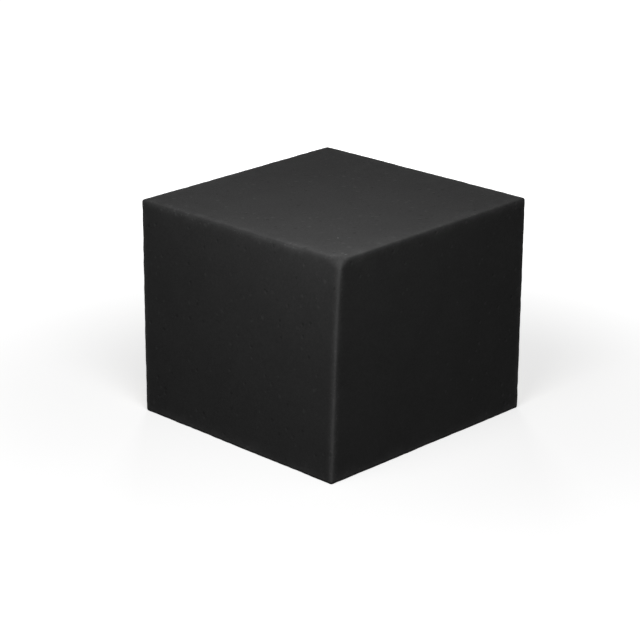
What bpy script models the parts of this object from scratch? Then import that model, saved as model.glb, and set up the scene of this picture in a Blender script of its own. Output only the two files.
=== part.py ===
"""Acoustic corner block.

A solid cuboid of open-cell foam that closes the corner where two walls meet the floor or the
ceiling. A run of corner foam along each wall ends against one of its two open sides. Its two wall
faces carry die-cut double-sided foam pads, each still under its peel-off liner.

Lengths are metres and +Z is up. The origin is the middle of the base. The left wall is on the +Y
side, the right wall on the +X side, and the corner of the room is at +X +Y.
"""

import math

import bmesh
import bpy
from mathutils import Matrix

OBJECT_NAME = "acoustic_corner_block"

# Foam block: a 12 inch square footprint, 10 inches tall, its cut edges softened.
BLOCK_WIDTH = 0.3048
BLOCK_DEPTH = 0.3048
BLOCK_HEIGHT = 0.2540
EDGE_RADIUS = 0.0035
EDGE_SEGMENTS = 5

# Double-sided pads: closed-cell foam with adhesive on both faces, die-cut with rounded corners.
PAD_WIDTH = 0.040
PAD_HEIGHT = 0.040
PAD_THICKNESS = 0.0012
PAD_CORNER_RADIUS = 0.0030

# The corner pads stand this far in from the wall face's edges.
PAD_SIDE_MARGIN = 0.022
PAD_END_MARGIN = 0.020

# Release liners: thin siliconised paper, cut to the pad with a little to spare, and a finger tab.
LINER_THICKNESS = 0.00020
LINER_OVERHANG = 0.0006
TAB_REACH = 0.0090
TAB_WIDTH = 0.0180
TAB_TIP_RADIUS = 0.0050
TAB_ROOT_RADIUS = 0.0025

# Layers that are stuck together keep this gap, so that no two solids share a face.
BOND_GAP = 0.0003

# Each quarter turn of an outline is drawn with this many straight steps.
ARC_STEPS = 6

QUARTER = math.pi / 2


def clear_scene():
    """Removes whatever the scene holds."""
    for obj in list(bpy.data.objects):
        bpy.data.objects.remove(obj, do_unlink=True)


def make_material(name, colour, roughness):
    """A Principled material of one colour, for a surface that isn't metal."""
    material = bpy.data.materials.new(name)
    material.use_nodes = True
    shader = material.node_tree.nodes["Principled BSDF"]
    shader.inputs["Base Color"].default_value = (*colour, 1.0)
    shader.inputs["Roughness"].default_value = roughness
    shader.inputs["Metallic"].default_value = 0.0
    return material


def arc(centre, radius, start, turn):
    """Points along an arc about centre, from the angle start through the angle turn."""
    steps = [start + turn * i / ARC_STEPS for i in range(ARC_STEPS + 1)]
    return [(centre[0] + radius * math.cos(a), centre[1] + radius * math.sin(a)) for a in steps]


def rounded_rectangle(width, height, radius):
    """The outline of a die-cut rectangle about the origin, counter-clockwise."""
    x = width / 2 - radius
    y = height / 2 - radius
    return (
        arc((x, y), radius, 0, QUARTER)
        + arc((-x, y), radius, QUARTER, QUARTER)
        + arc((-x, -y), radius, 2 * QUARTER, QUARTER)
        + arc((x, -y), radius, 3 * QUARTER, QUARTER)
    )


def tabbed_rectangle(width, height, radius):
    """A die-cut rectangle with a finger tab on its +X side, which runs out of the side in a fillet."""
    x = width / 2
    tip_x = x + TAB_REACH - TAB_TIP_RADIUS
    tip_y = TAB_WIDTH / 2 - TAB_TIP_RADIUS
    root_x = x + TAB_ROOT_RADIUS
    root_y = TAB_WIDTH / 2 + TAB_ROOT_RADIUS
    tab = (
        arc((root_x, -root_y), TAB_ROOT_RADIUS, 2 * QUARTER, -QUARTER)
        + arc((tip_x, -tip_y), TAB_TIP_RADIUS, 3 * QUARTER, QUARTER)
        + arc((tip_x, tip_y), TAB_TIP_RADIUS, 0, QUARTER)
        + arc((root_x, root_y), TAB_ROOT_RADIUS, 3 * QUARTER, -QUARTER)
    )
    return tab + rounded_rectangle(width, height, radius)


def die_cut(name, outline, thickness, material):
    """A flat 2D curve of this outline, extruded evenly to both sides of its own XY plane."""
    curve = bpy.data.curves.new(name, "CURVE")
    curve.dimensions = "2D"
    curve.fill_mode = "BOTH"
    curve.extrude = thickness / 2
    spline = curve.splines.new("POLY")
    spline.points.add(len(outline) - 1)
    for point, (x, y) in zip(spline.points, outline):
        point.co = (x, y, 0, 1)
    spline.use_cyclic_u = True
    curve.materials.append(material)
    return curve


def build_foam_block(collection, material):
    """The block: a cuboid standing on the base plane, with every edge rounded over."""
    mesh = bpy.data.meshes.new("foam_block")
    shape = bmesh.new()
    bmesh.ops.create_cube(shape, size=1.0)
    size = Matrix.Diagonal((BLOCK_WIDTH, BLOCK_DEPTH, BLOCK_HEIGHT, 1.0))
    lift = Matrix.Translation((0, 0, BLOCK_HEIGHT / 2))
    bmesh.ops.transform(shape, matrix=lift @ size, verts=shape.verts)
    shape.to_mesh(mesh)
    shape.free()
    mesh.materials.append(material)

    block = bpy.data.objects.new("foam_block", mesh)
    collection.objects.link(block)
    rounding = block.modifiers.new("softened_edges", "BEVEL")
    rounding.width = EDGE_RADIUS
    rounding.segments = EDGE_SEGMENTS
    rounding.limit_method = "NONE"
    mesh.shade_smooth()
    mesh.set_sharp_from_angle(angle=math.radians(35))
    return block


def add_wall_face(collection, block, wall, location, turn):
    """An empty on a wall face: its X runs along the face, its Y up, and its Z out of the foam."""
    face = bpy.data.objects.new(f"{wall}_wall_face", None)
    face.empty_display_size = PAD_WIDTH
    face.location = location
    face.rotation_euler = (QUARTER, 0, turn)
    face.parent = block
    collection.objects.link(face)
    return face


def place(collection, face, name, curve, along, up, out, turn):
    """A die-cut piece on a wall face, its middle this far along, up and out."""
    piece = bpy.data.objects.new(name, curve)
    piece.location = (along, up, out)
    piece.rotation_euler = (0, 0, turn)
    piece.parent = face
    collection.objects.link(piece)
    return piece


def build_wall_pads(collection, face, wall, face_width, open_side, pad_curve, liner_curve):
    """Five pads under their liners: one near each corner of the wall face, and one in the middle.

    open_side is +1 or -1: the direction along the face that leads away from the room's corner.
    Every liner's tab points that way, where fingers can reach it.
    """
    side = face_width / 2 - PAD_SIDE_MARGIN - PAD_WIDTH / 2
    end = BLOCK_HEIGHT / 2 - PAD_END_MARGIN - PAD_HEIGHT / 2
    spots = {
        "top_outer": (open_side * side, end),
        "top_inner": (-open_side * side, end),
        "centre": (0, 0),
        "bottom_outer": (open_side * side, -end),
        "bottom_inner": (-open_side * side, -end),
    }
    pad_out = BOND_GAP + PAD_THICKNESS / 2
    liner_out = pad_out + PAD_THICKNESS / 2 + BOND_GAP + LINER_THICKNESS / 2
    tab_turn = 0 if open_side > 0 else math.pi
    for spot, (along, up) in spots.items():
        place(collection, face, f"{wall}_pad_{spot}", pad_curve, along, up, pad_out, 0)
        place(collection, face, f"{wall}_liner_{spot}", liner_curve, along, up, liner_out, tab_turn)


def build():
    clear_scene()
    collection = bpy.data.collections.new(OBJECT_NAME)
    bpy.context.scene.collection.children.link(collection)

    charcoal_foam = make_material("charcoal_foam", (0.042, 0.042, 0.043), 0.95)
    white_foam_tape = make_material("white_foam_tape", (0.74, 0.74, 0.72), 0.60)
    glassine_paper = make_material("glassine_paper", (0.70, 0.62, 0.44), 0.35)

    block = build_foam_block(collection, charcoal_foam)

    pad_outline = rounded_rectangle(PAD_WIDTH, PAD_HEIGHT, PAD_CORNER_RADIUS)
    pad_curve = die_cut("pad", pad_outline, PAD_THICKNESS, white_foam_tape)
    liner_outline = tabbed_rectangle(
        PAD_WIDTH + 2 * LINER_OVERHANG,
        PAD_HEIGHT + 2 * LINER_OVERHANG,
        PAD_CORNER_RADIUS + LINER_OVERHANG,
    )
    liner_curve = die_cut("liner", liner_outline, LINER_THICKNESS, glassine_paper)

    middle = BLOCK_HEIGHT / 2
    left_face = add_wall_face(collection, block, "left", (0, BLOCK_DEPTH / 2, middle), 2 * QUARTER)
    right_face = add_wall_face(collection, block, "right", (BLOCK_WIDTH / 2, 0, middle), QUARTER)
    build_wall_pads(collection, left_face, "left", BLOCK_WIDTH, 1, pad_curve, liner_curve)
    build_wall_pads(collection, right_face, "right", BLOCK_DEPTH, -1, pad_curve, liner_curve)


build()
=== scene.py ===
"""The looks of the acoustic corner block: sawn foam, mounting pads and their peel-off liners.

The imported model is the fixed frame, in metres with +Z up. The walls of the room are on the +X and
+Y sides, so the camera looks at the two open sides and the top. Left and right are as it sees them.
"""

import math

import bmesh
import bpy
import numpy as np
from mathutils import Matrix, Vector


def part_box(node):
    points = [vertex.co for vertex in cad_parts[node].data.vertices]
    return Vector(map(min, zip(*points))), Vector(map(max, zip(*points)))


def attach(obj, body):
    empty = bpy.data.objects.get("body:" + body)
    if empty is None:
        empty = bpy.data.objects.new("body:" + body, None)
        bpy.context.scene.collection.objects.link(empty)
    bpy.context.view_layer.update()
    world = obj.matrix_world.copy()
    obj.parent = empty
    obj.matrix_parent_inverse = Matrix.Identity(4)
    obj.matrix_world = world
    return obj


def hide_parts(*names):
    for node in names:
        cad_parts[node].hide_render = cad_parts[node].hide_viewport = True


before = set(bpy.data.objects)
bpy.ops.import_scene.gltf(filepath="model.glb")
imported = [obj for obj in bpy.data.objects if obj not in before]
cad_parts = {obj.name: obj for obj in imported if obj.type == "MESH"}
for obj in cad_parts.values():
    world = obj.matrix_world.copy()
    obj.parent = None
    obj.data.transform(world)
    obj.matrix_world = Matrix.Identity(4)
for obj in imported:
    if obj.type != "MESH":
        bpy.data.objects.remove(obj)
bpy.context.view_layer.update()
bpy.ops.object.select_all(action="DESELECT")

# The foam block. One cuboid sawn with a band knife from a large bun of charcoal open-cell
# polyurethane foam. It has no skin and no cover: every face is cut cells, and the edges are soft,
# a little uneven and paler, where cut struts stand up and let the light through. The paleness is
# partly the struts' own and partly painted edge light: brightness painted into the colour for the
# light that the edges catch and let through.
BLOCK_LOW, BLOCK_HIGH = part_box("foam_block")
BLOCK_SIZE = BLOCK_HIGH - BLOCK_LOW
BLOCK_MIDDLE = (BLOCK_LOW + BLOCK_HIGH) / 2
EDGE_ROUNDING = 0.0031
EDGE_STEPS = 6
MESH_SPACING = 0.0024

# An edge runs along an axis if it strays from it by less than this share of its least length.
STRAIGHTNESS = 0.01


def add_box(name, low, high):
    """A box between two corners, with its place in its mesh, left active and selected alone."""
    bpy.ops.object.select_all(action="DESELECT")
    bpy.ops.mesh.primitive_cube_add(size=1, location=(low + high) / 2)
    piece = bpy.context.object
    piece.name = name
    piece.scale = high - low
    bpy.ops.object.transform_apply(location=True, rotation=True, scale=True)
    return piece


def select_where(piece, kind, wanted):
    """In edit mode, selects only those vertices, edges or faces that wanted() accepts."""
    bpy.ops.mesh.select_mode(type=kind)
    bpy.ops.mesh.select_all(action="DESELECT")
    shape = bmesh.from_edit_mesh(piece.data)
    for part in {"VERT": shape.verts, "EDGE": shape.edges, "FACE": shape.faces}[kind]:
        part.select_set(wanted(part))
    shape.select_flush_mode()
    bmesh.update_edit_mesh(piece.data)


def runs_along(axis, least):
    """A test for edges that run along one axis and are longer than least."""

    def test(edge):
        run = edge.verts[1].co - edge.verts[0].co
        across = run.length_squared - run[axis] ** 2
        return abs(run[axis]) > least and across < (STRAIGHTNESS * least) ** 2

    return test


def round_edges(radius, steps):
    """In edit mode, rounds the selected edges."""
    bpy.ops.mesh.bevel(offset=radius, segments=steps, profile=0.5, affect="EDGES")


def vertex_rows(piece, attribute):
    """A vector of every vertex of the piece, such as co or normal, as an array of rows."""
    flat = np.empty(3 * len(piece.data.vertices))
    piece.data.vertices.foreach_get(attribute, flat)
    return flat.reshape(-1, 3)


def smooth_step(value, low, high):
    """0 below low, 1 above high, and a soft ramp between them."""
    t = np.clip((value - low) / (high - low), 0, 1)
    return t * t * (3 - 2 * t)


def weight_group(piece, name, weights):
    """A vertex group that holds one weight for each vertex."""
    group = piece.vertex_groups.new(name=name)
    for index, weight in enumerate(weights):
        if weight > 0:
            group.add([index], float(weight), "REPLACE")


cut_foam = add_box("cut_foam", BLOCK_LOW, BLOCK_HIGH)
bpy.ops.object.mode_set(mode="EDIT")
bpy.ops.mesh.select_all(action="SELECT")
round_edges(EDGE_ROUNDING, EDGE_STEPS)
for axis in range(3):
    select_where(cut_foam, "EDGE", runs_along(axis, BLOCK_SIZE[axis] / 2))
    bpy.ops.mesh.subdivide(number_cuts=round(BLOCK_SIZE[axis] / MESH_SPACING) - 1)
bpy.ops.object.mode_set(mode="OBJECT")
sawn = vertex_rows(cut_foam, "co")

# How far each point is from the three pairs of faces. The second smallest of these is how far it
# is from the nearest edge. The foam crumbles within this distance of its edges.
CRUMBLED_WIDTH = 0.008

inset = np.maximum(np.array(BLOCK_SIZE) / 2 - abs(sawn - BLOCK_MIDDLE), 0)
edge_distance = np.sort(inset, axis=1)[:, 1]
weight_group(cut_foam, "edges", 1 - smooth_step(edge_distance, 0, CRUMBLED_WIDTH))

# Handling has knocked the front top edge that lies on the left into shallow waves. Points that
# aren't at that edge are put out of its reach.
KNOCKED_WIDTH = 0.010
OUT_OF_REACH = 1

at_top_left = (sawn[:, 0] < BLOCK_MIDDLE.x) & (sawn[:, 2] > BLOCK_MIDDLE.z)
from_knocked = np.hypot(inset[:, 0], inset[:, 2]) + np.where(at_top_left, 0, OUT_OF_REACH)
weight_group(cut_foam, "knocked_edge", 1 - smooth_step(from_knocked, 0, KNOCKED_WIDTH))

# The front top corner is worn back by this depth, nearly along the block's diagonal. The wear is
# centred a little to the left of the upright edge, and fades over these lengths inwards, sideways
# and down. Where it is more than this share of the depth, the frayed struts are rubbed off, and the
# edges' paleness, pale struts and painted edge light alike, is taken down there.
WORN_DEPTH = 0.0115
WORN_DIRECTION = Vector((0.73, 0.683, 0))
WORN_LEFTWARDS = 0.0018
WORN_INWARDS = 0.020
WORN_SIDEWAYS = 0.0050
WORN_DOWN = 0.0050
RUBBED_SHARE = 0.1

from_corner = sawn - (BLOCK_LOW.x, BLOCK_LOW.y, BLOCK_HIGH.z)
inwards = (from_corner[:, 0] + from_corner[:, 1]) * math.sqrt(0.5)
sideways = (from_corner[:, 0] - from_corner[:, 1]) * math.sqrt(0.5) + WORN_LEFTWARDS
reach = (inwards / WORN_INWARDS) ** 2 + (sideways / WORN_SIDEWAYS) ** 2
worn = np.exp(-reach - (from_corner[:, 2] / WORN_DOWN) ** 2)
rubbed = smooth_step(worn, 0, RUBBED_SHARE)

# Upright edges make the sides paler by this share, and by more towards the foot, partly as pale
# struts and partly as painted edge light. The paleness falls off over this distance, by this power
# of it. A rubbed edge keeps a part of it.
UPRIGHT_EDGE_PALENESS = 0.82
UPRIGHT_EDGE_FADE = 0.0044
UPRIGHT_EDGE_POWER = 1.6
FOOT_PALENESS = 0.80
WORN_RIDGE_PALENESS = 0.3

from_upright_edge = inset[:, :2].max(axis=1)
faded = np.exp(-((from_upright_edge / UPRIGHT_EDGE_FADE) ** UPRIGHT_EDGE_POWER))
by_upright = UPRIGHT_EDGE_PALENESS * faded
by_upright *= 1 + FOOT_PALENESS * (BLOCK_HIGH.z - sawn[:, 2]) / BLOCK_SIZE.z
by_upright *= 1 - (1 - WORN_RIDGE_PALENESS) * rubbed

# Level edges make the sides paler too, pale struts and painted edge light together, but not where
# the corner is rubbed. On the left side this painted paleness is weaker, most at the front corner
# and less further away.
LEVEL_EDGE_PALENESS = 1.42
LEVEL_EDGE_FADE = 0.0039
LEFT_DIMMING = 0.55
LEFT_DIMMING_REACH = 0.070

by_level = LEVEL_EDGE_PALENESS * np.exp(-inset[:, 2] / LEVEL_EDGE_FADE) * (1 - rubbed)
on_left_side = from_corner[:, 0] < EDGE_ROUNDING
dimmed_on_left = np.exp(-from_upright_edge / LEFT_DIMMING_REACH) * on_left_side
by_level *= 1 - LEFT_DIMMING * dimmed_on_left

# Where both kinds of edge are near, the weaker paleness adds a little to the stronger one.
WEAKER_SHARE = 0.3

stronger = np.maximum(by_upright, by_level)
on_side = stronger + WEAKER_SHARE * np.minimum(by_upright, by_level)

# On the top and the base the paleness is weaker and wider, with a brighter crest at the edge:
# partly pale struts, partly painted edge light, and the crest is a painted highlight. As the
# surface rolls over the edge it loses the share ROLLED_EDGE_LOSS, all of it once the normal points
# up by no more than ROLLED_EDGE_LEVELNESS.
TOP_PALENESS = 0.17
TOP_FADE = 0.014
CREST_PALENESS = 0.18
CREST_WIDTH = 0.0062
ROLLED_EDGE_LOSS = 0.6
ROLLED_EDGE_LEVELNESS = 0.6

levelness = abs(vertex_rows(cut_foam, "normal")[:, 2])
on_top = TOP_PALENESS * np.exp(-edge_distance / TOP_FADE)
on_top += CREST_PALENESS * np.exp(-((edge_distance / CREST_WIDTH) ** 2))
on_top *= 1 - ROLLED_EDGE_LOSS * (1 - smooth_step(levelness, ROLLED_EDGE_LEVELNESS, 1))

# Round the edge the sides' paleness gives way to the top's, and is gone once the normal points up
# by SIDE_LEVELNESS.
SIDE_LEVELNESS = 0.40

upright = 1 - smooth_step(levelness, 0, SIDE_LEVELNESS)
fray_and_painted_edge_light = on_top + (on_side - on_top) * upright
# The attribute carries the edges' paleness: pale struts and painted edge light together.
cut_foam.data.attributes.new("fray_and_painted_edge_light", "FLOAT", "POINT")
cut_foam.data.attributes["fray_and_painted_edge_light"].data.foreach_set("value", fray_and_painted_edge_light)


def roughen(piece, name, grain, depth, inwards, group=""):
    """Pushes a surface along its normals by a cloud pattern of this grain, over a range of depth.

    inwards is the share of the range that lies inwards, so at 1 nothing comes forward.
    """
    pattern = bpy.data.textures.new(name, "CLOUDS")
    pattern.noise_scale = grain
    wear = piece.modifiers.new(name, "DISPLACE")
    wear.texture = pattern
    wear.texture_coords = "LOCAL"
    wear.strength = depth
    wear.mid_level = inwards
    wear.vertex_group = group
    bpy.context.view_layer.objects.active = piece
    bpy.ops.object.modifier_apply(modifier=name)


# How far the knife wandered, how the edges crumbled, how deep the cells open, and the knocks.
roughen(cut_foam, "knife_drift", grain=0.09, depth=0.0006, inwards=1)
roughen(cut_foam, "edge_crumble", grain=0.012, depth=0.0009, inwards=0.6, group="edges")
roughen(cut_foam, "cell_relief", grain=0.0036, depth=0.00016, inwards=1)
roughen(cut_foam, "knocks", grain=0.020, depth=0.0022, inwards=0.5, group="knocked_edge")
points = vertex_rows(cut_foam, "co")

# The block's own weight presses the rounded bottom edge flat, up to this height, on what it stands
# on. The rest of the rounding stretches down.
FOOT_SETTLES = 0.0012

height = points[:, 2] - BLOCK_LOW.z
rounded = height < EDGE_ROUNDING
stretch = EDGE_ROUNDING / (EDGE_ROUNDING - FOOT_SETTLES)
points[rounded, 2] = BLOCK_LOW.z + np.maximum(height[rounded] - FOOT_SETTLES, 0) * stretch

points += np.outer(WORN_DEPTH * worn, WORN_DIRECTION)

# The front upright edge leans: its foot stands this far to the left of its head. The lean fades to
# nothing at the top and at the two wall faces, which stay flat on their pads.
FRONT_LEAN = 0.0090
LEAN_CURVE = 0.54
LEAN_DIRECTION = Vector((-0.689, 0.725, 0))

share = np.clip((np.array(BLOCK_HIGH) - points) / np.array(BLOCK_SIZE), 0, 1)
lean = FRONT_LEAN * share[:, 2] ** LEAN_CURVE * (share[:, 0] * share[:, 1])
points += np.outer(lean, LEAN_DIRECTION)

# A pinch mark crosses the front edge part of the way up: a shallow dent, pressed inwards.
PINCH_HEIGHT = 0.106
PINCH_LENGTH = 0.009
PINCH_WIDTH = 0.008
PINCH_DEPTH = 0.0016
PINCH_DIRECTION = Vector((1, 0.35, 0)).normalized()

from_edge = np.hypot(points[:, 0] - BLOCK_LOW.x, points[:, 1] - BLOCK_LOW.y)
above_pinch = points[:, 2] - BLOCK_LOW.z - PINCH_HEIGHT
dent = np.exp(-((above_pinch / PINCH_LENGTH) ** 2)) * np.exp(-((from_edge / PINCH_WIDTH) ** 2))
points += np.outer(PINCH_DEPTH * dent, PINCH_DIRECTION)
cut_foam.data.vertices.foreach_set("co", points.ravel())
cut_foam.data.update()
cut_foam.data.shade_smooth()

# Blender's noise keeps mostly between these values.
NOISE_LOW = 0.3
NOISE_HIGH = 0.7


def new_material(name, colour, roughness):
    """A material with its Principled shader, of one colour and roughness to start from."""
    material = bpy.data.materials.new(name)
    material.use_nodes = True
    shader = material.node_tree.nodes["Principled BSDF"]
    shader.inputs["Base Color"].default_value = colour
    shader.inputs["Roughness"].default_value = roughness
    return material, material.node_tree, shader


def put(tree, kind, inputs=(), **settings):
    """Adds a node, sets its properties, and links or fills the inputs given by name or number."""
    node = tree.nodes.new(kind)
    for name, value in settings.items():
        setattr(node, name, value)
    for name, value in dict(inputs).items():
        if isinstance(value, bpy.types.NodeSocket):
            tree.links.new(value, node.inputs[name])
        else:
            node.inputs[name].default_value = value
    return node


def calculate(tree, operation, *values):
    """The output of a Math node."""
    return put(tree, "ShaderNodeMath", enumerate(values), operation=operation).outputs[0]


def product(tree, first, *others):
    """All the values, multiplied."""
    for value in others:
        first = calculate(tree, "MULTIPLY", first, value)
    return first


def ramp(tree, value, low, high, to_low=0.0, to_high=1.0):
    """A smooth step from to_low to to_high while value goes from low to high."""
    inputs = {0: value, 1: low, 2: high, 3: to_low, 4: to_high}
    return put(tree, "ShaderNodeMapRange", inputs, interpolation_type="SMOOTHSTEP").outputs[0]


def noise(tree, place, per_metre, detail=2):
    """Smooth noise from 0 to 1 over a place."""
    inputs = {"Vector": place, "Scale": per_metre, "Detail": detail}
    return put(tree, "ShaderNodeTexNoise", inputs).outputs[0]


def uneven(tree, place, low, high, per_metre, detail=2):
    """A value that wanders smoothly between low and high over a place."""
    return ramp(tree, noise(tree, place, per_metre, detail), NOISE_LOW, NOISE_HIGH, low, high)


def blend_colours(tree, share, first, second):
    """A colour from first to second. They are sockets or colours."""
    return put(tree, "ShaderNodeMix", {0: share, 6: first, 7: second}, data_type="RGBA").outputs[2]


def scale_vector(tree, vector, factor):
    """A vector or a colour times a factor."""
    inputs = {0: vector, "Scale": factor}
    return put(tree, "ShaderNodeVectorMath", inputs, operation="SCALE").outputs[0]


def add_relief(tree, shader, height, strength, distance):
    """Lets a height show on the surface, without moving it."""
    inputs = {"Height": height, "Strength": strength, "Distance": distance}
    bump = put(tree, "ShaderNodeBump", inputs)
    tree.links.new(bump.outputs[0], shader.inputs["Normal"])


def make_cell_group():
    """A node group for cut foam: pores with struts between them, and a tone for each cell."""
    group = bpy.data.node_groups.new("cut_cells", "ShaderNodeTree")
    group.interface.new_socket("Place", in_out="INPUT", socket_type="NodeSocketVector")
    group.interface.new_socket("Cells per Metre", in_out="INPUT", socket_type="NodeSocketFloat")
    for name in ("Height", "Cell Tone"):
        group.interface.new_socket(name, in_out="OUTPUT", socket_type="NodeSocketFloat")
    start = group.nodes.new("NodeGroupInput")
    end = group.nodes.new("NodeGroupOutput")
    place = {"Vector": start.outputs["Place"], "Scale": start.outputs["Cells per Metre"]}
    cell = put(group, "ShaderNodeTexVoronoi", place, feature="F1")
    wall = put(group, "ShaderNodeTexVoronoi", place, feature="DISTANCE_TO_EDGE")

    # A strut slopes down between these distances from the wall between two cells, as shares of a
    # cell. The bowl of a cell rises between these distances from its middle.
    strut_edges = (0.02, 0.16)
    bowl_edges = (0.1, 0.75)
    strut = ramp(group, wall.outputs["Distance"], *strut_edges, 1, 0)
    bowl = ramp(group, cell.outputs["Distance"], *bowl_edges)
    height = calculate(group, "MAXIMUM", strut, bowl)
    tone = put(group, "ShaderNodeSeparateColor", {0: cell.outputs["Color"]}).outputs[0]
    group.links.new(height, end.inputs["Height"])
    group.links.new(tone, end.inputs["Cell Tone"])
    return group


cell_group = make_cell_group()


def put_cells(tree, per_metre):
    """The piece's own place, and the outputs of the group of cut cells over it."""
    place = put(tree, "ShaderNodeTexCoord").outputs["Object"]
    inputs = {"Place": place, "Cells per Metre": per_metre}
    return place, put(tree, "ShaderNodeGroup", inputs, node_tree=cell_group).outputs


def stray_cells(tree, place, per_metre, core, rim, rare, sure):
    """A mask of a few large cells, full out to core and gone at rim, as shares of a cell.

    A cell shows only if its own random value is above rare, and in full above sure.
    """
    inputs = {"Vector": place, "Scale": per_metre}
    cell = put(tree, "ShaderNodeTexVoronoi", inputs, feature="F1").outputs
    chance = put(tree, "ShaderNodeSeparateColor", {0: cell["Color"]}).outputs[1]
    spot = ramp(tree, cell["Distance"], core, rim, 1, 0)
    return calculate(tree, "MULTIPLY", spot, ramp(tree, chance, rare, sure))


# Marks that stand out near the front corner. Tones below 1 are painted shade in torn-open cells,
# and tones above 1 are lint or crushed cells, paler than the foam. Each has its place, its radius
# and its share of the tone, and is full out to MARK_CORE of its radius.
TOP = BLOCK_HIGH.z
LEFT_SIDE = BLOCK_LOW.x
MARKS = (
    (Vector((-0.102, -0.100, TOP)), 0.0017, 3.4),
    (Vector((-0.147, -0.136, TOP)), 0.0020, 1.4),
    (Vector((-0.137, -0.144, TOP)), 0.0022, 1.8),
    (Vector((-0.136, -0.138, TOP)), 0.0020, 1.4),
    (Vector((-0.111, 0.010, TOP)), 0.0022, 1.4),
    (Vector((-0.105, 0.004, TOP)), 0.0020, 1.35),
    (Vector((-0.072, -0.031, TOP)), 0.0024, 1.35),
    (Vector((-0.050, -0.114, TOP)), 0.0022, 1.35),
    (Vector((-0.077, -0.101, TOP)), 0.0026, 0.72),
    (Vector((0.024, -0.092, TOP)), 0.0026, 0.70),
    (Vector((LEFT_SIDE, -0.119, 0.204)), 0.0023, 1.9),
    (Vector((LEFT_SIDE, -0.116, 0.206)), 0.0020, 0.55),
    (Vector((LEFT_SIDE, -0.061, 0.188)), 0.0027, 0.62),
    (Vector((LEFT_SIDE, -0.043, 0.195)), 0.0022, 0.60),
    (Vector((LEFT_SIDE, -0.096, 0.189)), 0.0034, 1.30),
    (Vector((LEFT_SIDE, -0.091, 0.164)), 0.0044, 1.18),
)
MARK_CORE = 0.4


def make_foam_material():
    """Charcoal foam: pores painted darker as shade in the cells, lighter struts, stray pits with
    painted shade and highlight, crushed cells, and edges paler from struts and painted edge light.
    """
    # The pores' darker colour is painted shade in the cells' hollows. The struts' colour is the
    # foam's own.
    pore_shade_colour = (0.045, 0.045, 0.045, 1)
    strut_colour = (0.060, 0.060, 0.060, 1)
    material, tree, shader = new_material("charcoal_cut_foam", strut_colour, roughness=1.0)
    shader.inputs["Specular IOR Level"].default_value = 0.02
    place, cells = put_cells(tree, per_metre=1800)
    colour = blend_colours(tree, cells["Height"], pore_shade_colour, strut_colour)

    # The outlines of all stray cells wander, by up to half of this length.
    wander = Vector((0.0022, 0.0022, 0.0022))
    middle = (0.5, 0.5, 0.5)
    waves = put(tree, "ShaderNodeTexNoise", {"Vector": place, "Scale": 420}).outputs["Color"]
    waves = put(tree, "ShaderNodeVectorMath", {0: waves, 1: middle}, operation="SUBTRACT")
    sway = {0: waves.outputs[0], 1: wander, 2: place}
    bent = put(tree, "ShaderNodeVectorMath", sway, operation="MULTIPLY_ADD").outputs[0]

    # Here and there a larger cell was torn open into a ragged pit, painted darker as the shade in
    # it.
    # Beside it, on the side away from the front corner, a painted highlight stands for the light on
    # its far wall. Elsewhere a patch was crushed pale.
    pit_highlight_shift = Vector((-0.0015, -0.0015, 0.0015))
    beside = put(tree, "ShaderNodeVectorMath", {0: bent, 1: pit_highlight_shift}, operation="ADD").outputs[0]
    pit = stray_cells(tree, bent, per_metre=92, core=0.08, rim=0.27, rare=0.45, sure=0.80)
    pit_highlight = stray_cells(tree, beside, per_metre=92, core=0.08, rim=0.25, rare=0.45, sure=0.80)
    crushed = stray_cells(tree, bent, per_metre=78, core=0.06, rim=0.28, rare=0.55, sure=0.90)

    # Along the edges, ends of cut struts stand up as pale flecks, where the edges' paleness, pale
    # struts and painted edge light together, is this strong.
    flecked_edges = (0.09, 0.17)
    edge = put(tree, "ShaderNodeAttribute", attribute_name="fray_and_painted_edge_light").outputs["Fac"]
    fleck = stray_cells(tree, bent, per_metre=240, core=0.10, rim=0.36, rare=0.50, sure=0.90)
    fleck = calculate(tree, "MULTIPLY", fleck, ramp(tree, edge, *flecked_edges))

    # The tones, as shares of the foam's own: those that vary, and those of each kind of spot.
    cell_tones = (0.94, 1.06)
    grain_tones = (0.96, 1.04)
    cloud_tones = (0.97, 1.03)
    pit_shade_tone = 0.78
    pit_highlight_tone = 1.25
    crushed_tone = 1.26
    fleck_tone = 1.32

    # The edges' paleness, pale struts and painted edge light together, is raised to a power that
    # varies, so that the edges look raggedly frayed.
    ragged_powers = (1.35, 0.75)
    ragged = uneven(tree, place, *ragged_powers, per_metre=55, detail=3)
    tones = [
        ramp(tree, cells["Cell Tone"], 0, 1, *cell_tones),
        uneven(tree, place, *grain_tones, per_metre=300, detail=3),
        uneven(tree, place, *cloud_tones, per_metre=22),
        ramp(tree, pit, 0, 1, 1, pit_shade_tone),
        ramp(tree, pit_highlight, 0, 1, 1, pit_highlight_tone),
        ramp(tree, crushed, 0, 1, 1, crushed_tone),
        ramp(tree, fleck, 0, 1, 1, fleck_tone),
        calculate(tree, "ADD", calculate(tree, "POWER", edge, ragged), 1),
    ]
    for centre, radius, tone in MARKS:
        away = put(tree, "ShaderNodeVectorMath", {0: bent, 1: centre}, operation="DISTANCE")
        tones.append(ramp(tree, away.outputs["Value"], MARK_CORE * radius, radius, tone, 1))
    toned = scale_vector(tree, colour, product(tree, *tones))
    tree.links.new(toned, shader.inputs["Base Color"])

    # The pits go down by as much as the cells' own relief.
    relief = calculate(tree, "SUBTRACT", cells["Height"], pit)
    add_relief(tree, shader, relief, strength=0.32, distance=0.0004)
    return material


cut_foam.data.materials.append(make_foam_material())
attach(cut_foam, "root")
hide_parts("foam_block")

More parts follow.
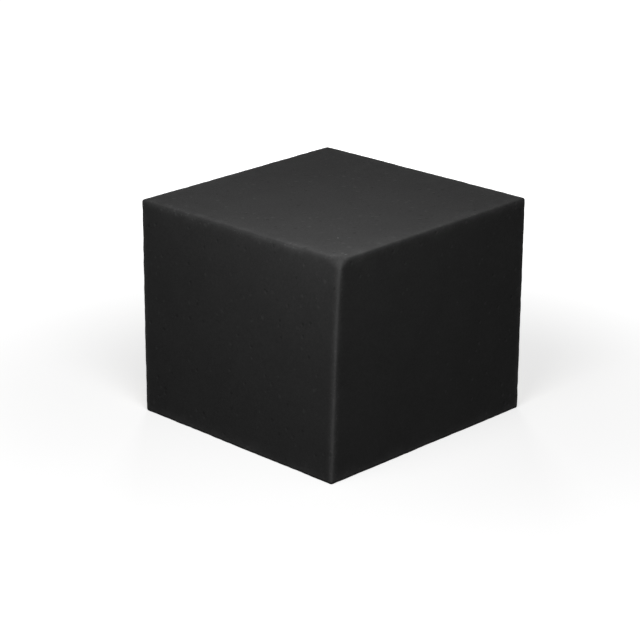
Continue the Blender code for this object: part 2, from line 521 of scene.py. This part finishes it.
# The mounting pads. Squares of white closed-cell polyethylene foam, die-cut with rounded corners,
# with adhesive on both faces: five on each wall face, pressed a little way into the soft foam.
SPOTS = ("top_outer", "top_inner", "centre", "bottom_outer", "bottom_inner")
PAD_CORNER = 0.0030
PAD_CORNER_STEPS = 6
PAD_BEDDING = 0.0004
PAD_BULGE = 0.00025
PAD_RIM = 0.00010
PAD_RIM_STEPS = 2

# For each wall: the axis that points out of it, and the axis that the tabs lie along.
WALLS = {"left": (1, 0), "right": (0, 1)}

# Places nearer than this are the same place. Faces that meet at less than this angle look smooth.
SAME_PLACE = 0.00001
SMOOTH_BELOW = math.radians(35)


def with_coordinate(place, axis, value):
    """A copy of a place with one coordinate changed."""
    changed = place.copy()
    changed[axis] = value
    return changed


def lies_in_plane(axis, level):
    """A test for edges that lie in the plane where a coordinate has this level."""
    return lambda edge: all(abs(end.co[axis] - level) < SAME_PLACE for end in edge.verts)


def cut_across(place, axis):
    """In edit mode, cuts the whole mesh with the plane through a place, square to an axis."""
    normal = with_coordinate(Vector((0, 0, 0)), axis, 1)
    bpy.ops.mesh.select_all(action="SELECT")
    bpy.ops.mesh.bisect(plane_co=place, plane_no=normal)


def make_pad(wall, spot, material):
    """One pad, from just inside the foam's face to the back of its liner."""
    out = WALLS[wall][0]
    low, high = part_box(f"{wall}_pad_{spot}")
    low[out] = BLOCK_HIGH[out] - PAD_BEDDING
    high[out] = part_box(f"{wall}_liner_{spot}")[0][out]
    middle = (low + high) / 2
    thickness = high[out] - low[out]
    pad = add_box(f"{wall}_mounting_pad_{spot}", low, high)
    bpy.ops.object.mode_set(mode="EDIT")
    select_where(pad, "EDGE", runs_along(out, thickness / 2))
    round_edges(PAD_CORNER, PAD_CORNER_STEPS)

    # The adhesive faces hold the rim straight, and between them it bulges.
    cut_across(middle, out)
    select_where(pad, "VERT", lambda vertex: abs(vertex.co[out] - middle[out]) < SAME_PLACE)
    spread = Vector((1, 1, 1)) * (1 + 2 * PAD_BULGE / (high.z - low.z))
    spread[out] = 1
    bpy.ops.transform.resize(value=spread, center_override=middle)
    for level in (low[out], high[out]):
        select_where(pad, "EDGE", lies_in_plane(out, level))
        round_edges(PAD_RIM, PAD_RIM_STEPS)
    bpy.ops.object.mode_set(mode="OBJECT")
    bpy.ops.object.shade_smooth_by_angle(angle=SMOOTH_BELOW)
    pad.data.materials.append(material)
    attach(pad, "root")
    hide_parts(f"{wall}_pad_{spot}")


def make_pad_material():
    """White closed-cell foam: fine shut bubbles on the cut rim, with painted shade in their
    hollows, and a faint unevenness of tone.
    """
    bubble_wall = (0.80, 0.80, 0.78, 1)
    # The bubbles' hollows are painted darker, as shade in them.
    bubble_hollow_shade = (0.62, 0.62, 0.60, 1)
    cell_tones = (0.95, 1.05)
    cloud_tones = (0.95, 1.03)
    roughnesses = (0.52, 0.68)
    name = "white_closed_cell_foam"
    material, tree, shader = new_material(name, bubble_wall, roughness=0.60)
    shader.inputs["Sheen Weight"].default_value = 0.05

    place, cells = put_cells(tree, per_metre=4200)
    colour = blend_colours(tree, cells["Height"], bubble_hollow_shade, bubble_wall)
    cloud = uneven(tree, place, *cloud_tones, per_metre=130, detail=3)
    tone = product(tree, cloud, ramp(tree, cells["Cell Tone"], 0, 1, *cell_tones))
    tree.links.new(scale_vector(tree, colour, tone), shader.inputs["Base Color"])
    rough = uneven(tree, place, *roughnesses, per_metre=700)
    tree.links.new(rough, shader.inputs["Roughness"])
    add_relief(tree, shader, cells["Height"], strength=0.35, distance=0.0001)
    return material


pad_material = make_pad_material()
for wall in WALLS:
    for spot in SPOTS:
        make_pad(wall, spot, pad_material)

# The release liners. Thin amber glassine, silicone-coated so that it peels off the adhesive, cut
# with each pad and left on it, with a finger tab that has sprung up by a different amount on each.
LINER_CORNER = 0.0036
LINER_CORNER_STEPS = 6
TAB_WIDTH = 0.0180
TAB_TIP_RADIUS = 0.0050
TAB_ROOT_RADIUS = 0.0025

# A tab curls in rows from just past its root. Each has sprung up by this angle, in degrees, from
# its root to its tip.
CURL_START = 0.0008
CURL_ROWS = 7
CURL_SPACING = 0.0011
TAB_LIFT = {
    ("left", "top_outer"): 17,
    ("left", "top_inner"): 9,
    ("left", "centre"): 24,
    ("left", "bottom_outer"): 12,
    ("left", "bottom_inner"): 20,
    ("right", "top_outer"): 11,
    ("right", "top_inner"): 21,
    ("right", "centre"): 14,
    ("right", "bottom_outer"): 26,
    ("right", "bottom_inner"): 8,
}

# An edge or a face points along a direction if the cosine of the angle between them is more than
# POINTS_ALONG. Faces that turn by less than FLAT_WITHIN are made one face.
POINTS_ALONG = 0.9
FLAT_WITHIN = math.radians(1)


def faces_along(direction, near, reach):
    """A test for faces that point along a direction and whose middles lie within reach."""

    def test(face):
        close = (face.calc_center_median() - near).length < reach
        return close and face.normal.dot(direction) > POINTS_ALONG

    return test


def lies_before(axis, level):
    """A test for vertices whose coordinate is below this level."""
    return lambda vertex: vertex.co[axis] < level - SAME_PLACE


def round_corners(piece, out, radius, chosen):
    """In edit mode, rounds the die-cut corners whose place in the outline chosen() accepts."""

    def wanted(edge):
        start, end = (vertex.co for vertex in edge.verts)
        through = abs(start[out] - end[out]) > POINTS_ALONG * (end - start).length
        return through and chosen(start)

    select_where(piece, "EDGE", wanted)
    round_edges(radius, LINER_CORNER_STEPS)


def make_liner(wall, spot, material):
    """One liner: a square over the pad, a tab drawn out of its outer side, and the tab's curl."""
    out, along = WALLS[wall]
    low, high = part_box(f"{wall}_liner_{spot}")
    middle = (low + high) / 2
    tab_reach = (high[along] - low[along]) - (high.z - low.z)
    root = low[along] + tab_reach
    body_low = with_coordinate(low, along, root)
    liner = add_box(f"{wall}_release_liner_{spot}", body_low, high)
    bpy.ops.object.mode_set(mode="EDIT")
    for side in (-1, 1):
        cut_across(middle + Vector((0, 0, side * TAB_WIDTH / 2)), 2)
    away = with_coordinate(Vector((0, 0, 0)), along, -1)
    tab_root = with_coordinate(middle, along, root)
    select_where(liner, "FACE", faces_along(away, tab_root, TAB_WIDTH / 4))
    bpy.ops.mesh.extrude_region_move(TRANSFORM_OT_translate={"value": away * tab_reach})
    bpy.ops.mesh.select_all(action="SELECT")
    bpy.ops.mesh.dissolve_limited(angle_limit=FLAT_WITHIN)

    def off_middle(place, distance):
        """Whether a place is this far above or below the liner's middle."""
        return abs(abs(place.z - middle.z) - distance) < SAME_PLACE

    def at_tab_root(place):
        """Whether a place is where a side of the tab leaves the square."""
        return abs(place[along] - root) < SAME_PLACE and off_middle(place, TAB_WIDTH / 2)

    body_half = (high.z - low.z) / 2
    round_corners(liner, out, LINER_CORNER, lambda place: off_middle(place, body_half))
    round_corners(liner, out, TAB_TIP_RADIUS, lambda place: place[along] < low[along] + SAME_PLACE)
    round_corners(liner, out, TAB_ROOT_RADIUS, at_tab_root)

    hinges = []
    for row in range(CURL_ROWS):
        level = root - CURL_START - row * CURL_SPACING
        hinges.append(with_coordinate(middle, along, level))
        cut_across(hinges[-1], along)

    # The tip's row turns first, so that each hinge is still where it was cut when its turn comes.
    # Tabs on the two walls turn opposite ways, because the walls mirror each other.
    row_turn = math.radians(TAB_LIFT[wall, spot]) / CURL_ROWS
    if wall == "right":
        row_turn = -row_turn
    for hinge in reversed(hinges):
        select_where(liner, "VERT", lies_before(along, hinge[along]))
        bpy.ops.transform.rotate(
            value=row_turn, orient_axis="Z", orient_type="GLOBAL", center_override=hinge
        )
    bpy.ops.object.mode_set(mode="OBJECT")
    bpy.ops.object.shade_smooth_by_angle(angle=SMOOTH_BELOW)

    # The liner's own map: how far along from the pad's middle, and how far up, in metres.
    body_middle = (body_low + high) / 2
    flat_map = liner.data.uv_layers.new(name="on_liner")
    for loop in liner.data.loops:
        place = liner.data.vertices[loop.vertex_index].co - body_middle
        flat_map.data[loop.index].uv = (place[along], place.z)

    liner.data.materials.append(material)
    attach(liner, "root")
    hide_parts(f"{wall}_liner_{spot}")


def make_liner_material():
    """Amber glassine: cloudy pulp, short fibres, paler over the white pad, darker past it."""
    over_pad = (0.74, 0.64, 0.43, 1)
    past_pad = (0.50, 0.40, 0.22, 1)
    fibre_colour = (0.80, 0.74, 0.58, 1)
    pulp_tones = (0.92, 1.07)
    bruise_tones = (0.96, 1.04)
    roughnesses = (0.30, 0.46)
    material, tree, shader = new_material("amber_glassine", over_pad, roughness=0.38)
    shader.inputs["Specular IOR Level"].default_value = 0.45
    shader.inputs["Coat Weight"].default_value = 0.15
    shader.inputs["Coat Roughness"].default_value = 0.25

    # The pad under the paper ends this far from its middle, as a wavering, blurred line.
    pad_half = 0.0196
    pad_blur = 0.0005
    pad_waver = 0.0002
    place = put(tree, "ShaderNodeTexCoord").outputs["Object"]
    flat = put(tree, "ShaderNodeUVMap", uv_map="on_liner").outputs[0]
    apart = put(tree, "ShaderNodeSeparateXYZ", {0: flat}).outputs
    across = calculate(tree, "ABSOLUTE", apart["X"])
    upwards = calculate(tree, "ABSOLUTE", apart["Y"])
    farthest = calculate(tree, "MAXIMUM", across, upwards)
    waver = uneven(tree, place, -pad_waver, pad_waver, per_metre=240)
    farthest = calculate(tree, "ADD", farthest, waver)
    beyond = ramp(tree, farthest, pad_half, pad_half + pad_blur)
    colour = blend_colours(tree, beyond, over_pad, past_pad)

    pulp = uneven(tree, place, *pulp_tones, per_metre=260, detail=5)
    bruise = uneven(tree, place, *bruise_tones, per_metre=45)
    toned = scale_vector(tree, colour, product(tree, pulp, bruise))

    # Short fibres lie the way that the tab points: the pattern changes less often along it than up
    # it. They show faintly.
    fibres_per_metre = (900, 5200, 1)
    fibre_edges = (0.62, 0.74)
    fibre_strength = 0.35
    stretched = put(tree, "ShaderNodeMapping", {"Vector": flat, "Scale": fibres_per_metre})
    fibre = ramp(tree, noise(tree, stretched.outputs[0], per_metre=1), *fibre_edges)
    weak_fibre = calculate(tree, "MULTIPLY", fibre, fibre_strength)
    colour = blend_colours(tree, weak_fibre, toned, fibre_colour)
    tree.links.new(colour, shader.inputs["Base Color"])

    # The paper cockles this many times as much as a fibre stands up.
    cockle_height = 4.0
    rough = uneven(tree, place, *roughnesses, per_metre=320, detail=3)
    tree.links.new(rough, shader.inputs["Roughness"])
    cockle = noise(tree, place, per_metre=90)
    relief = calculate(tree, "MULTIPLY_ADD", cockle, cockle_height, fibre)
    add_relief(tree, shader, relief, strength=0.25, distance=0.0001)
    return material


liner_material = make_liner_material()
for wall in WALLS:
    for spot in SPOTS:
        make_liner(wall, spot, liner_material)

# The floor: a plain white studio sweep, far wider than the view. It is white to the camera, apart
# from the block's soft shadow near its foot, and throws little light back. Its own glow is weaker
# nearer to the block than the first reach, and full past the second: a painted dimming round the
# block, so that the lamps' shadow shows there.
FLOOR_WIDTH = 24.0
FLOOR_GLOW_NEAR = 0.66
FLOOR_GLOW_FAR = 1.0
FLOOR_GLOW_REACH = (0.25, 0.85)
FLOOR_SEEN = (0.60, 0.60, 0.60, 1)
FLOOR_BOUNCE = (0.22, 0.22, 0.22, 1)

bpy.ops.object.select_all(action="DESELECT")
bpy.ops.mesh.primitive_plane_add(size=FLOOR_WIDTH, location=(0, 0, BLOCK_LOW.z))
floor = bpy.context.object
floor.name = "studio_floor"


def seen_directly(tree):
    """1 for what the camera sees, straight, in a mirror or through glass. 0 for other light."""
    path = put(tree, "ShaderNodeLightPath").outputs
    seen = calculate(tree, "MAXIMUM", path["Is Camera Ray"], path["Is Glossy Ray"])
    return calculate(tree, "MAXIMUM", seen, path["Is Transmission Ray"])


def make_floor_material():
    """White paper that glows for the camera, and is mid grey for the light that bounces off it."""
    material = bpy.data.materials.new("white_floor")
    material.use_nodes = True
    tree = material.node_tree
    tree.nodes.clear()
    place = put(tree, "ShaderNodeTexCoord").outputs["Object"]
    away = put(tree, "ShaderNodeVectorMath", {0: place}, operation="LENGTH").outputs["Value"]
    strength = ramp(tree, away, *FLOOR_GLOW_REACH, FLOOR_GLOW_NEAR, FLOOR_GLOW_FAR)
    glow = put(tree, "ShaderNodeEmission", {"Strength": strength})
    lit = put(tree, "ShaderNodeBsdfDiffuse", {"Color": FLOOR_SEEN})
    bounce = put(tree, "ShaderNodeBsdfDiffuse", {"Color": FLOOR_BOUNCE})
    shown = put(tree, "ShaderNodeAddShader", {0: glow.outputs[0], 1: lit.outputs[0]})
    sides = {0: seen_directly(tree), 1: bounce.outputs[0], 2: shown.outputs[0]}
    chosen = put(tree, "ShaderNodeMixShader", sides)
    put(tree, "ShaderNodeOutputMaterial", {"Surface": chosen.outputs[0]})
    return material


floor.data.materials.append(make_floor_material())

# The world: white where it is seen, and a weak even grey as light.
WORLD_LIGHT = 0.16

world = bpy.data.worlds.new("studio_world")
world.use_nodes = True
bpy.context.scene.world = world
sky = world.node_tree.nodes["Background"]
sky.inputs["Color"].default_value = (1, 1, 1, 1)
sky_strength = ramp(world.node_tree, seen_directly(world.node_tree), 0, 1, WORLD_LIGHT, 1)
world.node_tree.links.new(sky_strength, sky.inputs["Strength"])

# The lamps: a softbox close over the front left of the top, which makes the top brightest near its
# front corner, and a low one behind for the wall faces.
KEY_PLACE = Vector((-0.322, -0.224, 0.662))
KEY_WIDTH = 0.30
KEY_POWER = 2.28
FILL_PLACE = Vector((1.3, 1.3, 0.22))
FILL_WIDTH = 0.44
FILL_POWER = 20


def add_softbox(name, place, width, power):
    """A square area lamp that faces the block's middle."""
    lamp = bpy.data.lights.new(name, "AREA")
    lamp.shape = "SQUARE"
    lamp.size = width
    lamp.energy = power
    holder = bpy.data.objects.new(name, lamp)
    bpy.context.scene.collection.objects.link(holder)
    holder.location = place
    holder.rotation_euler = (BLOCK_MIDDLE - place).to_track_quat("-Z", "Y").to_euler()


add_softbox("key_light", KEY_PLACE, KEY_WIDTH, KEY_POWER)
add_softbox("fill_light", FILL_PLACE, FILL_WIDTH, FILL_POWER)

# The camera: a long lens, level to a third of a degree, that looks down on the front edge from
# nearly 45 degrees to both open sides. Its axis passes a little to the left of and below a point
# on the block's upright middle line. Its focal length was worked out in pixels.
VIEW_AZIMUTH = math.radians(-46.914)
VIEW_ELEVATION = math.radians(20.083)
VIEW_ROLL = math.radians(0.314)
VIEW_DISTANCE = 2.5688
AIM_HEIGHT = 0.1524
AIM_RIGHT = -0.0152
AIM_UP = -0.0408
FOCAL_PIXELS = 2269.0
PICTURE_PIXELS = 640
SENSOR_WIDTH = 36

towards_camera = Vector(
    (
        math.sin(VIEW_AZIMUTH) * math.cos(VIEW_ELEVATION),
        -math.cos(VIEW_AZIMUTH) * math.cos(VIEW_ELEVATION),
        math.sin(VIEW_ELEVATION),
    )
)
level_right = Vector((math.cos(VIEW_AZIMUTH), math.sin(VIEW_AZIMUTH), 0))
roll = Matrix.Rotation(VIEW_ROLL, 3, towards_camera)
view_right = roll @ level_right
view_up = roll @ towards_camera.cross(level_right)
lens = bpy.data.cameras.new("camera")
lens.lens = FOCAL_PIXELS / PICTURE_PIXELS * SENSOR_WIDTH
lens.sensor_width = SENSOR_WIDTH
camera = bpy.data.objects.new("camera", lens)
bpy.context.scene.collection.objects.link(camera)
camera.location = (
    Vector((0, 0, AIM_HEIGHT))
    + towards_camera * VIEW_DISTANCE
    + view_right * AIM_RIGHT
    + view_up * AIM_UP
)
camera.rotation_euler = Matrix((view_right, view_up, towards_camera)).transposed().to_euler()
bpy.context.scene.camera = camera
bpy.context.scene.view_settings.view_transform = "Standard"
